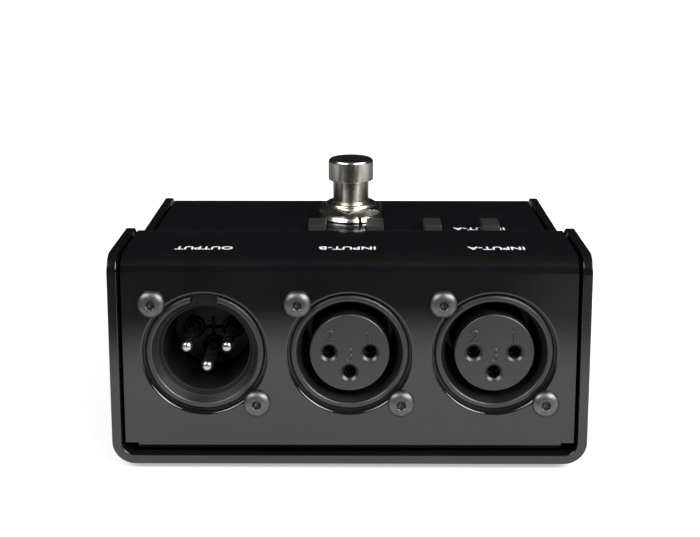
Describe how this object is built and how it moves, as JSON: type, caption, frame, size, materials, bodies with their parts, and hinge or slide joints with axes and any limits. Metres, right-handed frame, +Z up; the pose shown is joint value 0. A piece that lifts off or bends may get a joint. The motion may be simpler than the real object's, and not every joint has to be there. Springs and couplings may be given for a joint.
{
  "type": "balanced line selector pedal",
  "caption": "Low folded-steel floor box with male and female three-pin audio connectors, a latching footswitch and small push switches.",
  "frame": {"origin": "centre of the footprint, on the surface the box stands on", "axes": "-Y out of the connector panel, +Y towards the footswitch end, +Z up, +X to the right as seen from the connectors"},
  "size_m": [0.095, 0.085, 0.0523],
  "materials": {
    "black_paint": "gloss black powder coat",
    "connector_plastic": "fine matte glass-filled nylon",
    "button_plastic": "matte black",
    "nickel": "bright nickel plate",
    "screw_steel": "grey satin",
    "contact_metal": "silver plate",
    "pad_rubber": "matte textured sheet",
    "circuit_board": "green solder mask",
    "switch_blue": "moulded blue",
    "cable_grey": "grey cable sheath",
    "header_black": "moulded black"
  },
  "bodies": {
    "case": {"base_shell": "black_paint", "top_shell": "black_paint", "nonslip_pad": "pad_rubber", "case_screw_1": "screw_steel", "case_screw_2": "screw_steel", "case_screw_3": "screw_steel", "case_screw_4": "screw_steel", "output_xlr_housing": "connector_plastic", "output_xlr_insert": "connector_plastic", "output_xlr_pin_1": "contact_metal", "output_xlr_pin_2": "contact_metal", "output_xlr_pin_3": "contact_metal", "input_b_xlr_housing": "connector_plastic", "input_b_xlr_insert": "connector_plastic", "input_b_xlr_contact_1": "contact_metal", "input_b_xlr_contact_2": "contact_metal", "input_b_xlr_contact_3": "contact_metal", "input_a_xlr_housing": "connector_plastic", "input_a_xlr_insert": "connector_plastic", "input_a_xlr_contact_1": "contact_metal", "input_a_xlr_contact_2": "contact_metal", "input_a_xlr_contact_3": "contact_metal", "panel_screw_1": "screw_steel", "panel_screw_2": "screw_steel", "panel_screw_3": "screw_steel", "panel_screw_4": "screw_steel", "panel_screw_5": "screw_steel", "panel_screw_6": "screw_steel", "main_board": "circuit_board", "switch_board": "circuit_board", "board_header": "header_black", "board_standoff_1": "nickel", "board_screw_1": "screw_steel", "board_standoff_2": "nickel", "board_screw_2": "screw_steel", "push_switch_body_1": "header_black", "push_switch_body_2": "header_black", "push_switch_body_3": "header_black", "push_switch_body_4": "header_black", "footswitch_bushing": "nickel", "footswitch_nut": "nickel", "footswitch_lock_washer": "nickel", "footswitch_inner_nut": "nickel", "footswitch_spring": "nickel", "footswitch_body": "switch_blue", "footswitch_lug_1": "contact_metal", "footswitch_lug_2": "contact_metal", "footswitch_lug_3": "contact_metal", "footswitch_lug_4": "contact_metal", "footswitch_lug_5": "contact_metal", "footswitch_lug_6": "contact_metal", "ribbon_cable": "cable_grey"},
    "footswitch_plunger": {"footswitch_plunger": "nickel"},
    "push_button_1": {"push_button_1": "button_plastic"},
    "push_button_2": {"push_button_2": "button_plastic"},
    "push_button_3": {"push_button_3": "button_plastic"},
    "push_button_4": {"push_button_4": "button_plastic"}
  },
  "joints": [
    {"name": "footswitch_press", "type": "slide", "parent": "case", "child": "footswitch_plunger", "axis": [0, 0, -1], "range_m": [0, 0.003], "stiffness_N_per_m": 2000, "springref_m": -0.003, "deforming": ["footswitch_spring"]},
    {"name": "push_button_1_press", "type": "slide", "parent": "case", "child": "push_button_1", "axis": [0, 0, -1], "range_m": [0, 0.0015], "stiffness_N_per_m": 400, "springref_m": -0.0025},
    {"name": "push_button_2_press", "type": "slide", "parent": "case", "child": "push_button_2", "axis": [0, 0, -1], "range_m": [0, 0.0015], "stiffness_N_per_m": 400, "springref_m": -0.0025},
    {"name": "push_button_3_press", "type": "slide", "parent": "case", "child": "push_button_3", "axis": [0, 0, -1], "range_m": [0, 0.0015], "stiffness_N_per_m": 400, "springref_m": -0.0025},
    {"name": "push_button_4_press", "type": "slide", "parent": "case", "child": "push_button_4", "axis": [0, 0, -1], "range_m": [0, 0.0015], "stiffness_N_per_m": 400, "springref_m": -0.0025}
  ]
}
